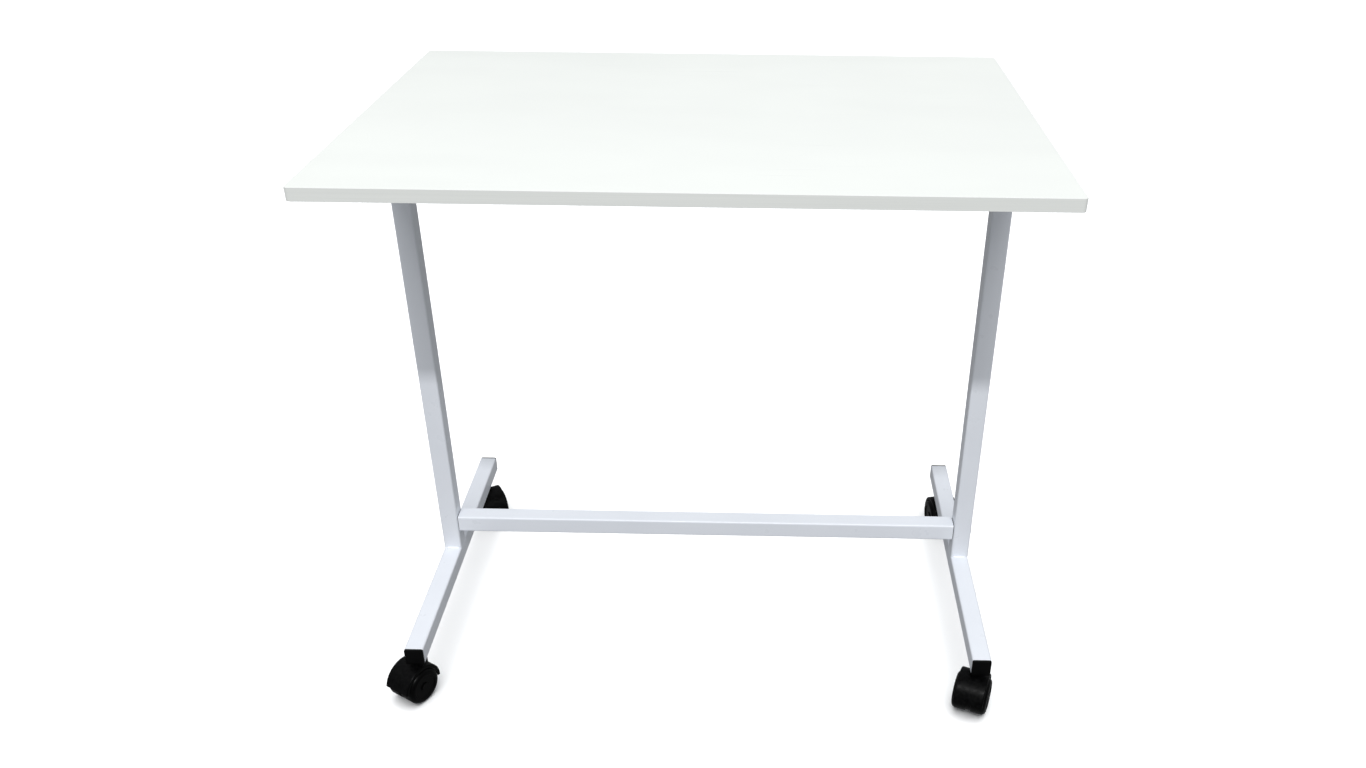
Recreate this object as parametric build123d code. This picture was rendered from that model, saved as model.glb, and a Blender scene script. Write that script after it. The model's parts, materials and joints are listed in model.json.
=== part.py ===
"""Overbed table: a laminated top on a square-tube frame that rolls on four twin-wheel casters.

Millimetres, +Z up. The origin is on the floor under the middle of the top. +X runs along the
long side of the top, to the user's right, and +Y runs to the back.
"""

from build123d import *
import os
from math import cos, radians, sin

# Tabletop
top_width = 800
top_depth = 560
top_thickness = 15
top_corner = 5
overall_height = 745
sheet_thickness = 0.8
band_thickness = 1.0
band_round = 0.4

# Square steel tube of the frame
tube = 25
tube_wall = 1.5
tube_corner = 2.5
post_x = 375
foot_length = 455
bearer_length = 400
crossbar_rise = 31

# Square plastic plugs in the open tube ends
cap_flange = 3
cap_edge_round = 0.8
cap_plug_length = 11
cap_plug_clearance = 0.05
cap_plug_wall = 1.6

# Screws that hold the top on the bearers
screw_y = (-165, -60, 60, 165)
screw_radius = 2.25
screw_hole_radius = 2.5
screw_head_radius = 4.5
screw_head_height = 2.6
screw_bite = 11
screw_recess_length = 5
screw_recess_width = 1.1
screw_recess_depth = 1.4

# Socket-head screws inside the posts that hold the crossbar, and the plugs over their access holes
bolt_radius = 3
bolt_hole_radius = 3.3
bolt_head_radius = 5
bolt_head_height = 6
bolt_socket_flats = 5
bolt_socket_depth = 3
bolt_end_past_plate = 2.5
washer_radius = 6
washer_thickness = 1.6
nut_plate_thickness = 8
crossbar_reveal = 1
access_hole_radius = 6.25
plug_flange_radius = 7.5
plug_flange = 1.2
plug_edge_round = 0.6
plug_skirt_length = 5
plug_skirt_wall = 1.2

# Caster: fixed stem, swivelling hood, axle and two wheels
caster_height = 61
front_inset = 21
rear_inset = 33
caster_trail = 19
bush_flange_radius = 8
bush_flange = 1
bush_radius = 5.5
bush_length = 16
stem_radius = 4
stem_thread_length = 15
collar_flats = 13
collar_height = 2.8
journal_bottom = 47.6
ring_bottom = 51
ring_height = 1.2
ring_inner_radius = 3.3
ring_outer_radius = 5
ring_mouth = 4
wheel_radius = 25
wheel_inner_face = 3.4
wheel_outer_face = 23
wheel_shoulder = 6
wheel_inner_shoulder = 0.8
dish_inner_radius = 6
dish_outer_radius = 17.5
dish_depth = 1.4
pocket_inner_radius = 8
pocket_outer_radius = 19.5
pocket_floor = 17
axle_radius = 3
axle_half_length = 19
axle_chamfer = 0.5
hood_inner_radius = 27.6
hood_outer_radius = 30.4
hood_lip_radius = 26
hood_lip_inner = 17.9
hood_half_width = 19.6
hood_edge_round = 1.6
hood_start = -4
hood_end = 170
web_half = 3
web_radius = 23.5
wheel_space_radius = 26
boss_radius = 8
boss_bottom = 40
boss_round = 1
running_gap = 0.05
end_gap = 0.3

# Direction in which each caster's wheels trail, in degrees from +X
caster_headings = {
    "left_front": 240,
    "right_front": 249,
    "left_rear": 300,
    "right_rear": 280,
}

# Levels and places that follow from the above
foot_bottom = caster_height
foot_top = foot_bottom + tube
top_underside = overall_height - top_thickness
bearer_bottom = top_underside - tube
post_length = bearer_bottom - foot_top
crossbar_length = 2 * (post_x - tube / 2 - crossbar_reveal)
crossbar_z = foot_top + crossbar_rise + tube / 2
tube_bore = tube - 2 * tube_wall
bore_corner = tube_corner - tube_wall
collar_top = foot_bottom - bush_flange
boss_top = collar_top - collar_height - end_gap
front_caster_y = front_inset - foot_length / 2
rear_caster_y = foot_length / 2 - rear_inset


def cylinder_between(radius, low, high):
    """A cylinder on the Z axis from one level to another."""
    return Pos(0, 0, low) * extrude(Circle(radius), high - low)


def along_x(shape):
    """Turn a shape built along +Z so that it runs along +X."""
    return Rot(0, 90, 0) * shape


def along_y(shape):
    """Turn a shape built along +Z so that it runs along +Y."""
    return Rot(-90, 0, 0) * shape


# --- Tabletop ---------------------------------------------------------------------------------


def board(inset, low, high):
    """A plate with the top's outline, drawn in by an inset."""
    outline = RectangleRounded(top_width - 2 * inset, top_depth - 2 * inset, top_corner - inset)
    return Pos(0, 0, low) * extrude(outline, high - low)


def screw_places():
    """Where each tabletop screw comes up through its bearer."""
    return [Pos(side * post_x, y, 0) for side in (-1, 1) for y in screw_y]


def pilot_holes():
    hole = cylinder_between(screw_radius, top_underside, top_underside + screw_bite)
    return [place * hole for place in screw_places()]


def make_core():
    core = board(band_thickness, top_underside + sheet_thickness, overall_height - sheet_thickness)
    return core - pilot_holes()


def make_top_sheet():
    return board(band_thickness, overall_height - sheet_thickness, overall_height)


def make_backing_sheet():
    return board(band_thickness, top_underside, top_underside + sheet_thickness) - pilot_holes()


def make_edge_band():
    outer = board(0, top_underside, overall_height)
    rims = outer.faces().sort_by(Axis.Z)[0].edges() + outer.faces().sort_by(Axis.Z)[-1].edges()
    return fillet(rims, band_round) - board(band_thickness, top_underside, overall_height)


def make_tabletop_screws():
    """Pan-head screws, from under the bearers into the board."""
    head_bottom = bearer_bottom - screw_head_height
    head = cylinder_between(screw_head_radius, head_bottom, bearer_bottom)
    head = fillet(head.edges().sort_by(Axis.Z)[0], screw_head_height / 2)
    slot = Box(screw_recess_length, screw_recess_width, 2 * screw_recess_depth)
    recess = Pos(0, 0, head_bottom) * (slot + Rot(0, 0, 90) * slot)
    shank = cylinder_between(screw_radius, bearer_bottom, top_underside + screw_bite)
    screw = head + shank - recess
    return Compound([place * screw for place in screw_places()])


# --- Frame ------------------------------------------------------------------------------------


def square_tube(length):
    """A tube on the Z axis, from the origin up."""
    outer = extrude(RectangleRounded(tube, tube, tube_corner), length)
    return outer - extrude(RectangleRounded(tube_bore, tube_bore, bore_corner), length)


def make_bearer(side):
    body = Pos(side * post_x, -bearer_length / 2, bearer_bottom + tube / 2)
    bearer = body * along_y(square_tube(bearer_length))
    hole = cylinder_between(screw_hole_radius, bearer_bottom, top_underside)
    return bearer - [Pos(side * post_x, y, 0) * hole for y in screw_y]


def make_post(side):
    post = Pos(side * post_x, 0, foot_top) * square_tube(post_length)
    screw_hole = cylinder_between(bolt_hole_radius, -tube, 0)
    access_hole = cylinder_between(access_hole_radius, 0, tube)
    return post - outward(side, screw_hole) - outward(side, access_hole)


def make_foot(side):
    foot = Pos(side * post_x, -foot_length / 2, foot_bottom + tube / 2) * along_y(square_tube(foot_length))
    hole = cylinder_between(bush_radius, foot_bottom - 1, foot_bottom + tube / 2)
    return foot - [Pos(side * post_x, y, 0) * hole for y in (front_caster_y, rear_caster_y)]


def make_crossbar():
    return Pos(-crossbar_length / 2, 0, crossbar_z) * along_x(square_tube(crossbar_length))


def make_cap():
    """An end plug on the Z axis: its flange covers the tube end at Z = 0 and its skirt goes in."""
    flange = extrude(RectangleRounded(tube, tube, tube_corner), cap_flange)
    flange = fillet(flange.faces().sort_by(Axis.Z)[-1].edges(), cap_edge_round)
    skirt_size = tube_bore - 2 * cap_plug_clearance
    skirt = extrude(RectangleRounded(skirt_size, skirt_size, bore_corner), -cap_plug_length)
    hollow_size = skirt_size - 2 * cap_plug_wall
    return flange + skirt - Pos(0, 0, -cap_plug_length) * extrude(Rectangle(hollow_size, hollow_size), cap_plug_length)


def place_cap(side, end, half_length, centre_z):
    """A cap in the front (end -1) or rear (end 1) mouth of a tube that runs along Y."""
    turn = Rot(-90 * end, 0, 0)
    return Pos(side * post_x, end * half_length, centre_z) * turn * make_cap()


def outward(side, shape):
    """Place a shape built along +Z so that it runs outwards along X at the crossbar's level."""
    turn = Rot(0, 90 * side, 0)
    return Pos(side * post_x, 0, crossbar_z) * turn * shape


def make_crossbar_bolts():
    """Socket-head screws from inside each post into the plate in the crossbar's end."""
    face = washer_thickness - tube_bore / 2
    head_top = face + bolt_head_height
    shank_end = -tube / 2 - nut_plate_thickness - bolt_end_past_plate
    socket_outline = RegularPolygon(bolt_socket_flats / 2, 6, major_radius=False)
    socket = Pos(0, 0, head_top - bolt_socket_depth) * extrude(socket_outline, bolt_socket_depth)
    head = cylinder_between(bolt_head_radius, face, head_top) - socket
    bolt = head + cylinder_between(bolt_radius, shank_end, face)
    return Compound([outward(side, bolt) for side in (-1, 1)])


def make_crossbar_washers():
    washer = extrude(Circle(washer_radius) - Circle(bolt_hole_radius), washer_thickness)
    return Compound([outward(side, Pos(0, 0, -tube_bore / 2) * washer) for side in (-1, 1)])


def make_nut_plates():
    """Threaded plates welded into the crossbar's ends, proud of them by a narrow dark joint."""
    outline = RectangleRounded(tube_bore, tube_bore, bore_corner) - Circle(bolt_radius)
    plate = Pos(0, 0, -tube / 2 - nut_plate_thickness) * extrude(outline, nut_plate_thickness)
    return Compound([outward(side, plate) for side in (-1, 1)])


def make_post_plug(side):
    """The plastic plug in a post's access hole."""
    flange = cylinder_between(plug_flange_radius, tube / 2, tube / 2 + plug_flange)
    flange = fillet(flange.edges().sort_by(Axis.Z)[-1], plug_edge_round)
    skirt_radius = access_hole_radius - cap_plug_clearance
    skirt = cylinder_between(skirt_radius, tube / 2 - plug_skirt_length, tube / 2)
    hollow = cylinder_between(skirt_radius - plug_skirt_wall, tube / 2 - plug_skirt_length, tube / 2)
    return outward(side, flange + (skirt - hollow))


# --- Caster, built with its swivel axis on Z and its wheels trailing along +X -------------------


def make_bush():
    """The threaded bush riveted into the foot."""
    flange = cylinder_between(bush_flange_radius, foot_bottom - bush_flange, foot_bottom)
    barrel = cylinder_between(bush_radius, foot_bottom, foot_bottom + bush_length)
    bore = cylinder_between(stem_radius, foot_bottom - bush_flange, foot_bottom + bush_length)
    return flange + barrel - bore


def make_stem():
    """The fixed stem: thread above, hexagon collar, and the journal that the hood turns on."""
    thread = cylinder_between(stem_radius, collar_top, collar_top + stem_thread_length)
    collar_outline = RegularPolygon(collar_flats / 2, 6, major_radius=False)
    collar = Pos(0, 0, collar_top - collar_height) * extrude(collar_outline, collar_height)
    journal = cylinder_between(stem_radius, journal_bottom, collar_top - collar_height)
    groove_outline = Circle(stem_radius + 1) - Circle(ring_inner_radius)
    groove = Pos(0, 0, ring_bottom) * extrude(groove_outline, ring_height)
    return thread + collar + journal - groove


def make_ring():
    """The open ring in the stem's groove that keeps the hood on."""
    outline = Circle(ring_outer_radius) - Circle(ring_inner_radius)
    outline = outline - Pos(ring_outer_radius, 0) * Rectangle(2 * ring_outer_radius, ring_mouth)
    return Pos(0, 0, ring_bottom) * extrude(outline, ring_height)


def wheel_space(inner, outer):
    """The round space about the axle that a wheel turns in, on both sides of the web."""
    ring = Pos(caster_trail, 0, wheel_radius) * Rot(90, 0, 0) * extrude(Circle(wheel_space_radius), outer, both=True)
    return ring - Pos(caster_trail, 0, wheel_radius) * Rot(90, 0, 0) * extrude(Circle(2 * wheel_radius), inner, both=True)


def around_axle(angle, radius):
    """A point about the axle, by its angle up from the leading side."""
    return (caster_trail - radius * cos(radians(angle)), wheel_radius + radius * sin(radians(angle)))


def hood_sector():
    """The slice about the axle that the hood covers, from its leading edge over the top."""
    step = (hood_end - hood_start) / 3
    rim = [around_axle(hood_start + i * step, 3 * wheel_radius) for i in range(4)]
    outline = Plane.XZ * Polygon([around_axle(0, 0)] + rim, align=None)
    return extrude(outline, 2 * hood_half_width, both=True)


def make_hood():
    """The hood: a fender over both treads, the web between the wheels, and the swivel boss."""
    lip_middle = (hood_lip_radius + hood_outer_radius) / 2
    section = Pos(lip_middle, 0) * Rectangle(hood_outer_radius - hood_lip_radius, 2 * hood_half_width)
    section = fillet(section.vertices().group_by(Axis.X)[-1], hood_edge_round)
    section = section - Pos(hood_inner_radius / 2, 0) * Rectangle(hood_inner_radius, 2 * hood_lip_inner)
    at_axle = Pos(caster_trail, 0, wheel_radius)
    fender = at_axle * revolve(section, Axis.Y)
    rib = at_axle * Rot(90, 0, 0) * extrude(Circle(hood_inner_radius + running_gap), web_half, both=True)
    web = at_axle * Rot(90, 0, 0) * extrude(Circle(web_radius), web_half, both=True)
    boss = cylinder_between(boss_radius, boss_bottom, boss_top)
    boss = fillet(boss.edges().sort_by(Axis.Z)[-1], boss_round)
    hood = ((fender + rib) & hood_sector()) + web
    hood = hood + (boss - wheel_space(web_half, hood_lip_inner))
    bore = cylinder_between(stem_radius + running_gap, journal_bottom - end_gap, boss_top)
    groove_top = ring_bottom + ring_height + end_gap
    groove = cylinder_between(ring_outer_radius + end_gap, ring_bottom - end_gap, groove_top)
    axle_bore = at_axle * Rot(90, 0, 0) * extrude(Circle(axle_radius), 2 * web_half, both=True)
    return hood - bore - groove - axle_bore


def make_axle():
    axle = Rot(90, 0, 0) * extrude(Circle(axle_radius), axle_half_length, both=True)
    return Pos(caster_trail, 0, wheel_radius) * chamfer(axle.edges().filter_by(GeomType.CIRCLE), axle_chamfer)


def make_wheel(side):
    """A moulded wheel with a dished outer face, ribless pocket inside and a blind axle bore."""
    width = wheel_outer_face - wheel_inner_face
    section = Pos(wheel_radius / 2, (wheel_inner_face + wheel_outer_face) / 2) * Rectangle(wheel_radius, width)
    rim_corners = section.vertices().group_by(Axis.X)[-1].sort_by(Axis.Y)
    section = fillet(rim_corners[-1], wheel_shoulder)
    section = fillet(section.vertices().group_by(Axis.X)[-1].sort_by(Axis.Y)[0], wheel_inner_shoulder)
    face = wheel_outer_face
    dish = Polygon(
        (dish_inner_radius, face + 1),
        (dish_inner_radius, face - dish_depth),
        (dish_outer_radius - dish_depth, face - dish_depth),
        (dish_outer_radius + 1, face + 1),
        align=None,
    )
    pocket = Polygon(
        (pocket_inner_radius, wheel_inner_face - 1),
        (pocket_inner_radius, pocket_floor),
        (pocket_outer_radius, pocket_floor),
        (pocket_outer_radius + 1, wheel_inner_face - 1),
        align=None,
    )
    bore_depth = axle_half_length + end_gap
    bore = Pos(0, bore_depth / 2) * Rectangle(2 * (axle_radius + running_gap), bore_depth)
    wheel = revolve(section - dish - pocket - bore, Axis.Y)
    return Pos(caster_trail, 0, wheel_radius) * Rot(0, 0, 90 - 90 * side) * wheel


def caster_place(corner):
    """Where a caster stands and which way its wheels trail."""
    x = post_x if corner.startswith("right") else -post_x
    y = rear_caster_y if corner.endswith("rear") else front_caster_y
    return Pos(x, y, 0) * Rot(0, 0, caster_headings[corner])


# --- The whole table --------------------------------------------------------------------------

parts = {
    "tabletop_core": make_core(),
    "tabletop_top_sheet": make_top_sheet(),
    "tabletop_backing_sheet": make_backing_sheet(),
    "tabletop_edge_band": make_edge_band(),
    "tabletop_screws": make_tabletop_screws(),
    "crossbar": make_crossbar(),
    "crossbar_bolts": make_crossbar_bolts(),
    "crossbar_washers": make_crossbar_washers(),
    "crossbar_nut_plates": make_nut_plates(),
}

for side_name, side in (("left", -1), ("right", 1)):
    parts[f"{side_name}_bearer"] = make_bearer(side)
    parts[f"{side_name}_post"] = make_post(side)
    parts[f"{side_name}_post_plug"] = make_post_plug(side)
    parts[f"{side_name}_foot"] = make_foot(side)
    for end_name, end in (("front", -1), ("rear", 1)):
        corner = f"{side_name}_{end_name}"
        parts[f"{corner}_bearer_cap"] = place_cap(side, end, bearer_length / 2, bearer_bottom + tube / 2)
        parts[f"{corner}_foot_cap"] = place_cap(side, end, foot_length / 2, foot_bottom + tube / 2)
        place = caster_place(corner)
        parts[f"{corner}_caster_bush"] = place * make_bush()
        parts[f"{corner}_caster_stem"] = place * make_stem()
        parts[f"{corner}_caster_ring"] = place * make_ring()
        parts[f"{corner}_caster_hood"] = place * make_hood()
        parts[f"{corner}_caster_axle"] = place * make_axle()
        parts[f"{corner}_wheel_a"] = place * make_wheel(1)
        parts[f"{corner}_wheel_b"] = place * make_wheel(-1)

os.makedirs("parts", exist_ok=True)
for node, shape in parts.items():
    export_step(shape, f"parts/{node}.step")
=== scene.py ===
"""Overbed table: materials, weld beads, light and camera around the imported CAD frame."""

import json
import math

import bmesh
import bpy
from mathutils import Matrix, Vector


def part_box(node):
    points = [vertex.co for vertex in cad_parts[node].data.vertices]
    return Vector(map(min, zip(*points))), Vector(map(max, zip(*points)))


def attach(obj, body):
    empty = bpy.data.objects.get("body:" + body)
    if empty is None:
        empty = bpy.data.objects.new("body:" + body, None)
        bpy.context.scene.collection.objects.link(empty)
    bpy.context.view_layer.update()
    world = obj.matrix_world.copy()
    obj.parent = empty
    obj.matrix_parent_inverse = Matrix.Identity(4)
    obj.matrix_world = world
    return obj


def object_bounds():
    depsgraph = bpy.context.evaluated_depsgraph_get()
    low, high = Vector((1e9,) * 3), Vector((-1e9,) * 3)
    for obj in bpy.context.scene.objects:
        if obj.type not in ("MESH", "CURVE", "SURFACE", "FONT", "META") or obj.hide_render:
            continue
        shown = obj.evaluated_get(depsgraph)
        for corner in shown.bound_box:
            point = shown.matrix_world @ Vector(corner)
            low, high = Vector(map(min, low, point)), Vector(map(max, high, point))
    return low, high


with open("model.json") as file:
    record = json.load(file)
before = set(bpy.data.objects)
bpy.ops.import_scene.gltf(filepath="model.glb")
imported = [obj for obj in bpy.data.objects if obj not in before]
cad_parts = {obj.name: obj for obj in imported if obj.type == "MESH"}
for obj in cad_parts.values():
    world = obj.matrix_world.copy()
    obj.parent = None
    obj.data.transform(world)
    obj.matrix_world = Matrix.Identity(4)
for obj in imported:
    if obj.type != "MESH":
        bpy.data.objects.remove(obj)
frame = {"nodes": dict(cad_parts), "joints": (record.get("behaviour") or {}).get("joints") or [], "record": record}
cad_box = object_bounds()

CORNERS = ("left_front", "right_front", "left_rear", "right_rear")
ROOT_BODY = "frame"

# Camera: where it stands, which way it looks and its picture's middle, in metres and degrees
CAMERA_PLACE = (0.0818, -1.3479, 1.1420)
CAMERA_YAW = -0.877
CAMERA_PITCH = -29.874
CAMERA_ROLL = 0.498
CAMERA_LENS = 29.98
CAMERA_SHIFT = -0.0478

# Light: a long thin softbox far off in front, the surround, and a light of the floor's own
KEY_TARGET = (0.0, 0.0, 0.4)
KEY_DISTANCE = 8.0
KEY_ELEVATION = 52.6
KEY_POWER = 405.0
KEY_WIDTH = 4.0
KEY_DEPTH = 0.26
SURROUND_ZENITH = 0.80
SURROUND_HORIZON = 0.285
SURROUND_DOWN = 0.27
FLOOR_LIGHT = 3.1
FLOOR_LIGHT_ELEVATION = 80.0
FLOOR_LIGHT_ANGLE = 60.0
FLOOR_SIZE = 30.0
FLOOR_COLOUR = (0.93, 0.935, 0.94)
FLOOR_SHADE = 0.995
SURROUND_COLOUR = (0.97, 0.985, 1.0)
BACKDROP_COLOUR = (1.0, 1.0, 1.0)

# Finishes, linear colours
LAMINATE_LIGHT = (0.905, 0.930, 0.897)
LAMINATE_DARK = (0.882, 0.906, 0.876)
LAMINATE_SCRATCH = (0.74, 0.75, 0.75)
EDGE_LIGHT = (0.870, 0.890, 0.862)
EDGE_DARK = (0.830, 0.850, 0.824)
# Painted highlight: the lighter colour of the edge band's top and bottom rims
EDGE_PAINTED_HIGHLIGHT = (0.90, 0.905, 0.90)
COAT_LIGHT = (0.865, 0.898, 0.960)
COAT_DARK = (0.838, 0.872, 0.935)
COAT_SCUFF = (0.52, 0.53, 0.55)
PLUG_LIGHT = (0.800, 0.820, 0.850)
PLUG_DARK = (0.760, 0.780, 0.815)
CAP_BLACK = (0.0008, 0.0008, 0.0009)
CAP_DUST = (0.0036, 0.0036, 0.0039)
NYLON_BLACK = (0.0006, 0.0006, 0.0007)
NYLON_DUST = (0.0030, 0.0030, 0.0032)
ZINC_BRIGHT = (0.64, 0.655, 0.68)
ZINC_DULL = (0.46, 0.47, 0.475)
# Black oxide of the nut plates: their own near-black, also painted shade in the gap at each crossbar end
GAP_SHADE_OXIDE_LIGHT = (0.0110, 0.0110, 0.0120)
GAP_SHADE_OXIDE_DARK = (0.0050, 0.0050, 0.0055)
CHIP_LIGHT = (0.62, 0.47, 0.30)
CHIP_DARK = (0.30, 0.19, 0.10)
CHIP_FIBRE = (0.50, 0.36, 0.22)

# Where the finishes change: the rims of the edge band that carry a painted highlight, and the scuffed height of
# the feet
HIGHLIGHT_RIM_START = 0.0007
HIGHLIGHT_RIM_FULL = 0.0003
SCUFF_FULL = 0.055
SCUFF_NONE = 0.16

# Weld beads: size, ripple and ends in metres, then shape as parts of the size
WELD_LEG = 0.0021
WELD_RIPPLE = 0.0019
WELD_END = 0.0022
WELD_INSET = 0.003
WELD_SINK = 0.0002
WELD_WAVE = 0.10
WELD_HOLLOW = 0.24
WELD_THINNEST = 0.03
WELD_STEPS = 64
WELD_ARC_STEPS = 8


# --- Materials --------------------------------------------------------------------------------


class Finish:
    """A Principled material whose colour, roughness and bump vary over the object's own space."""

    def __init__(self, name, roughness=0.5, metallic=0.0, specular=0.5):
        self.material = bpy.data.materials.new(name)
        self.material.use_nodes = True
        self.tree = self.material.node_tree
        self.shader = self.tree.nodes["Principled BSDF"]
        self.set("Roughness", roughness)
        self.set("Metallic", metallic)
        self.set("Specular IOR Level", specular)
        self.space = self.tree.nodes.new("ShaderNodeTexCoord")

    def set(self, socket, value):
        self.shader.inputs[socket].default_value = value

    def link(self, value, socket):
        self.tree.links.new(value, socket)

    def into(self, value, socket):
        self.link(value, self.shader.inputs[socket])

    def stretched(self, scale, turn=(0.0, 0.0, 0.0)):
        """Object space, turned and then stretched."""
        mapping = self.tree.nodes.new("ShaderNodeMapping")
        mapping.inputs["Rotation"].default_value = [math.radians(a) for a in turn]
        mapping.inputs["Scale"].default_value = scale
        self.link(self.space.outputs["Object"], mapping.inputs["Vector"])
        return mapping.outputs["Vector"]

    def noise(self, scale, detail=2.0, roughness=0.5, vector=None, distortion=0.0):
        node = self.tree.nodes.new("ShaderNodeTexNoise")
        node.inputs["Scale"].default_value = scale
        node.inputs["Detail"].default_value = detail
        node.inputs["Roughness"].default_value = roughness
        node.inputs["Distortion"].default_value = distortion
        self.link(vector or self.space.outputs["Object"], node.inputs["Vector"])
        return node.outputs["Fac"]

    def cells(self, scale, vector=None):
        """Random grey per Voronoi cell."""
        node = self.tree.nodes.new("ShaderNodeTexVoronoi")
        node.inputs["Scale"].default_value = scale
        self.link(vector or self.space.outputs["Object"], node.inputs["Vector"])
        grey = self.tree.nodes.new("ShaderNodeSeparateColor")
        self.link(node.outputs["Color"], grey.inputs["Color"])
        return grey.outputs["Red"]

    def spread(self, value, low, high, to_low=0.0, to_high=1.0):
        """Map low..high onto to_low..to_high, clamped."""
        node = self.tree.nodes.new("ShaderNodeMapRange")
        node.inputs["From Min"].default_value = low
        node.inputs["From Max"].default_value = high
        node.inputs["To Min"].default_value = to_low
        node.inputs["To Max"].default_value = to_high
        self.link(value, node.inputs["Value"])
        return node.outputs["Result"]

    def math(self, operation, first, second):
        node = self.tree.nodes.new("ShaderNodeMath")
        node.operation = operation
        for index, value in enumerate((first, second)):
            if isinstance(value, float):
                node.inputs[index].default_value = value
            else:
                self.link(value, node.inputs[index])
        return node.outputs["Value"]

    def blend(self, factor, first, second):
        """Mix two colours; either may be a constant or another mix."""
        node = self.tree.nodes.new("ShaderNodeMix")
        node.data_type = "RGBA"
        self.link(factor, node.inputs["Factor"])
        for index, colour in ((6, first), (7, second)):
            if isinstance(colour, tuple):
                node.inputs[index].default_value = (*colour, 1.0)
            else:
                self.link(colour, node.inputs[index])
        return node.outputs[2]

    def bump(self, height, depth, strength=1.0, under=None):
        """Bump of a real depth in metres, over another bump if given."""
        node = self.tree.nodes.new("ShaderNodeBump")
        node.inputs["Strength"].default_value = strength
        node.inputs["Distance"].default_value = depth
        self.link(height, node.inputs["Height"])
        if under is not None:
            self.link(under, node.inputs["Normal"])
        self.into(node.outputs["Normal"], "Normal")
        return node.outputs["Normal"]

    def scratches(self, turn, length=5.0, across=420.0, cut=0.70):
        """Sparse fine lines in one direction: 0 on clean surface, 1 in a scratch."""
        lines = self.noise(1.0, 1.0, 0.4, self.stretched((length, across, across), (0.0, 0.0, turn)))
        patches = self.spread(self.noise(7.0, 3.0), 0.50, 0.62)
        return self.math("MULTIPLY", self.spread(lines, cut, cut + 0.05), patches)

    def height(self):
        """The object-space height, which is the height above the floor at rest."""
        node = self.tree.nodes.new("ShaderNodeSeparateXYZ")
        self.link(self.space.outputs["Object"], node.inputs["Vector"])
        return node.outputs["Z"]

    def facing(self, direction):
        """How squarely the surface looks along a direction, from -1 to 1."""
        node = self.tree.nodes.new("ShaderNodeVectorMath")
        node.operation = "DOT_PRODUCT"
        node.inputs[1].default_value = direction
        self.link(self.space.outputs["Normal"], node.inputs[0])
        return node.outputs["Value"]


def laminate_finish():
    """White melamine sheet: fine pearl grain, wipe marks and a few hairline scratches."""
    f = Finish("white_laminate", specular=0.42)
    cloud = f.spread(f.noise(3.0, 5.0, 0.55), 0.35, 0.65)
    colour = f.blend(cloud, LAMINATE_LIGHT, LAMINATE_DARK)
    speckle = f.spread(f.noise(1500.0, 1.0), 0.60, 0.72, 0.0, 0.35)
    colour = f.blend(speckle, colour, LAMINATE_DARK)
    marks = f.math("MAXIMUM", f.scratches(14.0), f.scratches(-37.0, 6.0, 520.0, 0.72))
    colour = f.blend(f.math("MULTIPLY", marks, 0.25), colour, LAMINATE_SCRATCH)
    f.into(colour, "Base Color")
    wipes = f.noise(1.0, 4.0, 0.6, f.stretched((2.0, 11.0, 2.0), (0.0, 0.0, 24.0)), 1.2)
    sheen = f.math("ADD", f.spread(wipes, 0.3, 0.7, 0.34, 0.46), f.math("MULTIPLY", marks, 0.2))
    f.into(sheen, "Roughness")
    grain = f.bump(f.noise(1100.0, 2.0, 0.6), 0.000025, 0.5)
    f.bump(f.math("SUBTRACT", 1.0, marks), 0.00002, 0.4, grain)
    return f.material


def edge_band_finish(low, high):
    """Plastic edging: extruded lines along its length and a painted highlight, a fine lighter line, at the top and
    bottom.
    """
    f = Finish("edge_band", specular=0.45)
    lines = f.noise(1.0, 3.0, 0.55, f.stretched((5.0, 5.0, 1400.0)))
    colour = f.blend(f.spread(lines, 0.35, 0.65), EDGE_LIGHT, EDGE_DARK)
    height = f.height()
    near_top = f.spread(height, high - HIGHLIGHT_RIM_START, high - HIGHLIGHT_RIM_FULL)
    near_bottom = f.spread(height, low + HIGHLIGHT_RIM_FULL, low + HIGHLIGHT_RIM_START, 1.0, 0.0)
    # Painted highlight: a lighter line along the top and bottom rims, broken up by noise
    painted_highlight_rim = f.math("MAXIMUM", near_top, near_bottom)
    broken = f.spread(f.noise(60.0, 4.0), 0.40, 0.60, 0.15, 0.75)
    colour = f.blend(f.math("MULTIPLY", painted_highlight_rim, broken), colour, EDGE_PAINTED_HIGHLIGHT)
    f.into(colour, "Base Color")
    f.into(f.spread(f.noise(18.0, 4.0), 0.3, 0.7, 0.32, 0.44), "Roughness")
    f.bump(lines, 0.00002, 0.5)
    return f.material


def powder_coat_finish():
    """White powder coat on steel: orange peel, slight flow marks and faint scuffs near the floor."""
    f = Finish("white_powder_coat", specular=0.5)
    cloud = f.spread(f.noise(9.0, 4.0), 0.35, 0.65)
    colour = f.blend(cloud, COAT_LIGHT, COAT_DARK)
    low_down = f.spread(f.height(), SCUFF_FULL, SCUFF_NONE, 1.0, 0.0)
    nicks = f.spread(f.noise(130.0, 6.0, 0.65), 0.66, 0.72)
    scuff = f.math("MULTIPLY", f.math("MULTIPLY", nicks, low_down), 0.35)
    colour = f.blend(scuff, colour, COAT_SCUFF)
    f.into(colour, "Base Color")
    flow = f.spread(f.noise(35.0, 3.0), 0.3, 0.7, 0.27, 0.38)
    f.into(f.math("ADD", flow, f.math("MULTIPLY", scuff, 0.4)), "Roughness")
    peel = f.bump(f.noise(420.0, 2.0, 0.45), 0.00006, 0.45)
    f.bump(f.noise(1900.0, 1.0), 0.000012, 0.4, peel)
    return f.material


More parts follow.
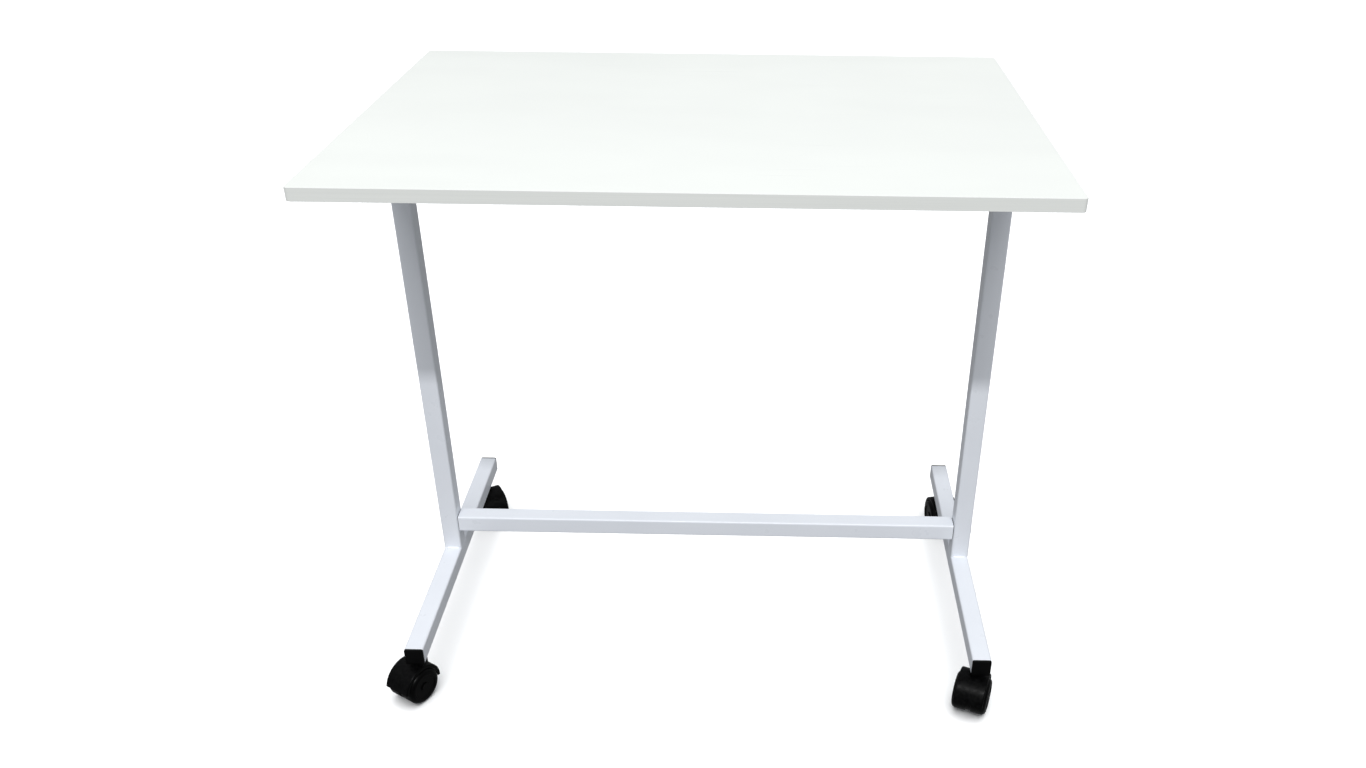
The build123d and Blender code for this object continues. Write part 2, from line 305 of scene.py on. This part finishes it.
def cap_finish():
    """Black moulded plastic: fine spark texture, dust on what faces up and rubbed spots."""
    f = Finish("cap_plastic", specular=0.10)
    upward = f.spread(f.facing((0.0, 0.0, 1.0)), 0.5, 1.0)
    dust = f.math("MULTIPLY", upward, f.spread(f.noise(300.0, 5.0, 0.6), 0.45, 0.7))
    f.into(f.blend(dust, CAP_BLACK, CAP_DUST), "Base Color")
    f.into(f.spread(f.noise(160.0, 4.0), 0.3, 0.7, 0.30, 0.44), "Roughness")
    f.bump(f.noise(2600.0, 2.0, 0.6), 0.00002, 0.5)
    return f.material


def plug_finish():
    """White moulded plastic, a little warmer and duller than the coat around it."""
    f = Finish("white_plastic", specular=0.4)
    f.into(f.blend(f.spread(f.noise(120.0, 3.0), 0.35, 0.65), PLUG_LIGHT, PLUG_DARK), "Base Color")
    f.into(f.spread(f.noise(90.0, 3.0), 0.3, 0.7, 0.36, 0.48), "Roughness")
    f.bump(f.noise(2200.0, 2.0, 0.6), 0.000015, 0.5)
    return f.material


def nylon_finish(name, axle):
    """Black nylon of one caster: dusty and matt where it rolls, glossier on the moulded faces."""
    f = Finish(name, specular=0.08)
    side_on = f.facing(axle)
    rolling = f.spread(f.math("ABSOLUTE", side_on, 0.0), 0.15, 0.5, 1.0, 0.0)
    worn = f.math("MULTIPLY", rolling, f.spread(f.noise(240.0, 6.0, 0.6), 0.42, 0.68))
    f.into(f.blend(worn, NYLON_BLACK, NYLON_DUST), "Base Color")
    gloss = f.spread(f.noise(90.0, 4.0), 0.3, 0.7, 0.24, 0.36)
    f.into(f.math("ADD", gloss, f.math("MULTIPLY", worn, 0.22)), "Roughness")
    turned = f.bump(f.noise(700.0, 2.0, 0.5), 0.00002, 0.35)
    f.bump(f.noise(60.0, 3.0), 0.00008, 0.2, turned)
    return f.material


def zinc_finish():
    """Bright zinc plate over machined steel: fine turning lines and cloudy passivation."""
    f = Finish("zinc_steel", metallic=1.0)
    cloud = f.spread(f.noise(220.0, 4.0), 0.35, 0.65)
    f.into(f.blend(cloud, ZINC_BRIGHT, ZINC_DULL), "Base Color")
    lines = f.noise(1.0, 2.0, 0.5, f.stretched((300.0, 300.0, 5200.0)))
    f.into(f.spread(lines, 0.3, 0.7, 0.24, 0.42), "Roughness")
    f.bump(lines, 0.00001, 0.4)
    return f.material


def black_oxide_gap_shade_finish():
    """Black oxide over raw steel: blotchy, with a dull oily sheen. Kept near black also as painted shade, so the
    thin gap at each crossbar end, where these plates sit, reads dark.
    """
    f = Finish("black_steel", metallic=0.3, specular=0.3)
    f.into(f.blend(f.spread(f.noise(260.0, 5.0, 0.6), 0.35, 0.65), GAP_SHADE_OXIDE_LIGHT, GAP_SHADE_OXIDE_DARK), "Base Color")
    f.into(f.spread(f.noise(180.0, 4.0), 0.3, 0.7, 0.42, 0.60), "Roughness")
    f.bump(f.noise(1600.0, 3.0, 0.6), 0.00002, 0.5)
    return f.material


def particle_board_finish():
    """Pressed wood chips, as seen where the board is drilled."""
    f = Finish("board_core", roughness=0.85, specular=0.2)
    chips = f.cells(1.0, f.stretched((240.0, 420.0, 900.0)))
    fibres = f.noise(900.0, 3.0)
    colour = f.blend(f.spread(chips, 0.1, 0.9), CHIP_LIGHT, CHIP_DARK)
    colour = f.blend(f.spread(fibres, 0.4, 0.7, 0.0, 0.4), colour, CHIP_FIBRE)
    f.into(colour, "Base Color")
    f.bump(chips, 0.0002, 0.6)
    return f.material


def wear(node, material):
    """Give a CAD node its finish."""
    mesh = frame["nodes"][node].data
    mesh.materials.clear()
    mesh.materials.append(material)


def axle_direction(corner):
    """The direction of a caster's axle, from its wheel joint."""
    joint = next(j for j in frame["joints"] if j["name"] == corner + "_roll_a")
    return tuple(joint["axis"])


def dress_cad_nodes():
    """Every CAD node gets the finish of its slot in the record."""
    band_low, band_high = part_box("tabletop_edge_band")
    finishes = {
        "white_laminate": laminate_finish(),
        "edge_band": edge_band_finish(band_low.z, band_high.z),
        "white_powder_coat": powder_coat_finish(),
        "cap_plastic": cap_finish(),
        "white_plastic": plug_finish(),
        "zinc_steel": zinc_finish(),
        # Nut plates: black oxide, kept near black partly as painted shade in the crossbar end gaps
        "black_steel": black_oxide_gap_shade_finish(),
        "board_core": particle_board_finish(),
    }
    nylon = {c: nylon_finish(c + "_nylon", axle_direction(c)) for c in CORNERS}
    for part in frame["record"]["subparts"]:
        node = part["node"]
        if part["material_slot"] == "caster_nylon":
            corner = next(c for c in CORNERS if node.startswith(c))
            wear(node, nylon[corner])
        else:
            wear(node, finishes[part["material_slot"]])
    return finishes


# --- Weld beads -------------------------------------------------------------------------------


def weld_bead(name, start, end, wall, ledge, material):
    """A rippled fillet bead from start to end, in the corner between a wall and a ledge.

    wall and ledge are unit vectors out of the corner, along the two faces that it joins.
    """
    start, end = Vector(start), Vector(end)
    run = (end - start).normalized()
    length = (end - start).length
    mesh = bmesh.new()
    rings = []
    for i in range(WELD_STEPS + 1):
        along = length * i / WELD_STEPS
        taper = min(1.0, along / WELD_END, (length - along) / WELD_END)
        size = WELD_LEG * math.sqrt(max(taper * (2.0 - taper), WELD_THINNEST))
        phase = (along % WELD_RIPPLE) / WELD_RIPPLE
        size *= 1.0 + WELD_WAVE * math.sin(math.pi * phase)
        corner = start + run * along
        ring = [mesh.verts.new(corner - WELD_SINK * (wall + ledge))]
        for j in range(WELD_ARC_STEPS + 1):
            angle = math.pi / 2 * j / WELD_ARC_STEPS
            bulge = 1.0 - WELD_HOLLOW * math.sin(2.0 * angle)
            spoke = math.cos(angle) * wall + math.sin(angle) * ledge
            ring.append(mesh.verts.new(corner + size * bulge * spoke))
        rings.append(ring)
    count = WELD_ARC_STEPS + 2
    for first, second in zip(rings, rings[1:]):
        for j in range(count):
            k = (j + 1) % count
            mesh.faces.new((first[j], first[k], second[k], second[j]))
    mesh.faces.new(rings[0][::-1])
    mesh.faces.new(rings[-1])
    bmesh.ops.recalc_face_normals(mesh, faces=mesh.faces)
    data = bpy.data.meshes.new(name)
    mesh.to_mesh(data)
    mesh.free()
    data.shade_smooth()
    data.materials.append(material)
    bead = bpy.data.objects.new(name, data)
    bpy.context.scene.collection.objects.link(bead)
    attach(bead, ROOT_BODY)
    return bead


def add_welds(material):
    """Beads across the front and back of each post, on its foot and under its bearer."""
    for side in ("left", "right"):
        low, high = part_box(side + "_post")
        ends = (low.x + WELD_INSET, high.x - WELD_INSET)
        for face, y, out in (("front", low.y, -1.0), ("rear", high.y, 1.0)):
            ledge = Vector((0.0, out, 0.0))
            for level, z, wall in (("foot", low.z, 1.0), ("bearer", high.z, -1.0)):
                name = f"{side}_{level}_weld_{face}"
                weld_bead(name, (ends[0], y, z), (ends[1], y, z), Vector((0.0, 0.0, wall)), ledge, material)


# --- Stage, light and camera ------------------------------------------------------------------


def add_floor(centre):
    """A large pale floor."""
    f = Finish("floor", roughness=0.9, specular=0.1)
    shaded = tuple(FLOOR_SHADE * c for c in FLOOR_COLOUR)
    f.into(f.blend(f.noise(0.8, 2.0), FLOOR_COLOUR, shaded), "Base Color")
    data = bpy.data.meshes.new("floor")
    half = FLOOR_SIZE / 2
    signs = ((-1, -1), (1, -1), (1, 1), (-1, 1))
    corners = [(centre.x + sx * half, centre.y + sy * half, 0.0) for sx, sy in signs]
    data.from_pydata(corners, [], [(0, 1, 2, 3)])
    data.materials.append(f.material)
    floor = bpy.data.objects.new("floor", data)
    bpy.context.scene.collection.objects.link(floor)
    floor.visible_diffuse = False
    floor.visible_glossy = False
    return floor


def group_of(name, objects):
    """A collection for linking a light to what it lights or what shades it."""
    group = bpy.data.collections.new(name)
    for member in objects:
        group.objects.link(member)
    return group


def add_key(lights):
    """A softbox in front and above, so long that no upright casts a hard shadow straight back."""
    data = bpy.data.lights.new("key", "AREA")
    data.shape = "RECTANGLE"
    data.size = KEY_WIDTH
    data.size_y = KEY_DEPTH
    data.energy = KEY_POWER
    key = bpy.data.objects.new("key", data)
    up = math.radians(KEY_ELEVATION)
    key.location = Vector(KEY_TARGET) + KEY_DISTANCE * Vector((0.0, -math.cos(up), math.sin(up)))
    key.rotation_euler = (math.radians(90.0) - up, 0.0, 0.0)
    bpy.context.scene.collection.objects.link(key)
    key.light_linking.receiver_collection = lights


def add_floor_light(lights, shaded_by):
    """A broad sun for the floor alone, so that only what stands on it leaves a faint shadow."""
    data = bpy.data.lights.new("floor_light", "SUN")
    data.energy = FLOOR_LIGHT
    data.angle = math.radians(FLOOR_LIGHT_ANGLE)
    sun = bpy.data.objects.new("floor_light", data)
    sun.rotation_euler = (math.radians(90.0 - FLOOR_LIGHT_ELEVATION), 0.0, 0.0)
    bpy.context.scene.collection.objects.link(sun)
    sun.light_linking.receiver_collection = lights
    sun.light_linking.blocker_collection = shaded_by


def add_surround():
    """A world that is brightest overhead and dimmest below the horizon, behind a white backdrop."""
    world = bpy.data.worlds.new("surround")
    world.use_nodes = True
    bpy.context.scene.world = world
    tree = world.node_tree
    space = tree.nodes.new("ShaderNodeTexCoord")
    split = tree.nodes.new("ShaderNodeSeparateXYZ")
    tree.links.new(space.outputs["Generated"], split.inputs["Vector"])
    above = tree.nodes.new("ShaderNodeMapRange")
    above.inputs["To Min"].default_value = SURROUND_HORIZON
    above.inputs["To Max"].default_value = SURROUND_ZENITH
    tree.links.new(split.outputs["Z"], above.inputs["Value"])
    level = tree.nodes.new("ShaderNodeMapRange")
    level.inputs["From Min"].default_value = -0.1
    level.inputs["From Max"].default_value = 0.0
    level.inputs["To Min"].default_value = SURROUND_DOWN
    tree.links.new(split.outputs["Z"], level.inputs["Value"])
    tree.links.new(above.outputs["Result"], level.inputs["To Max"])
    background = tree.nodes["Background"]
    background.inputs["Color"].default_value = (*SURROUND_COLOUR, 1.0)
    tree.links.new(level.outputs["Result"], background.inputs["Strength"])
    backdrop = tree.nodes.new("ShaderNodeBackground")
    backdrop.inputs["Color"].default_value = (*BACKDROP_COLOUR, 1.0)
    rays = tree.nodes.new("ShaderNodeLightPath")
    seen = tree.nodes.new("ShaderNodeMixShader")
    tree.links.new(rays.outputs["Is Camera Ray"], seen.inputs["Fac"])
    tree.links.new(background.outputs["Background"], seen.inputs[1])
    tree.links.new(backdrop.outputs["Background"], seen.inputs[2])
    tree.links.new(seen.outputs["Shader"], tree.nodes["World Output"].inputs["Surface"])


def add_camera():
    data = bpy.data.cameras.new("camera")
    data.sensor_width = 36.0
    data.lens = CAMERA_LENS
    data.shift_x = CAMERA_SHIFT
    camera = bpy.data.objects.new("camera", data)
    turn = Matrix.Rotation(math.radians(-CAMERA_YAW), 4, "Z")
    tilt = Matrix.Rotation(math.radians(90.0 + CAMERA_PITCH), 4, "X")
    roll = Matrix.Rotation(math.radians(CAMERA_ROLL), 4, "Z")
    camera.matrix_world = Matrix.Translation(CAMERA_PLACE) @ turn @ tilt @ roll
    bpy.context.scene.collection.objects.link(camera)
    bpy.context.scene.camera = camera


def add_studio():
    low, high = cad_box
    floor = add_floor((Vector(low) + Vector(high)) / 2)
    table = [o for o in bpy.context.scene.objects if o.type == "MESH" and o is not floor]
    near_floor = [o for o in table if "wheel" in o.name or "hood" in o.name or "foot" in o.name]
    table_group = group_of("lit_by_key", table)
    floor_group = group_of("lit_by_floor_light", [floor])
    low_group = group_of("shades_floor", near_floor)
    add_key(table_group)
    add_floor_light(floor_group, low_group)
    add_surround()
    add_camera()
    bpy.context.scene.view_settings.view_transform = "Standard"


finishes = dress_cad_nodes()
add_welds(finishes["white_powder_coat"])
add_studio()
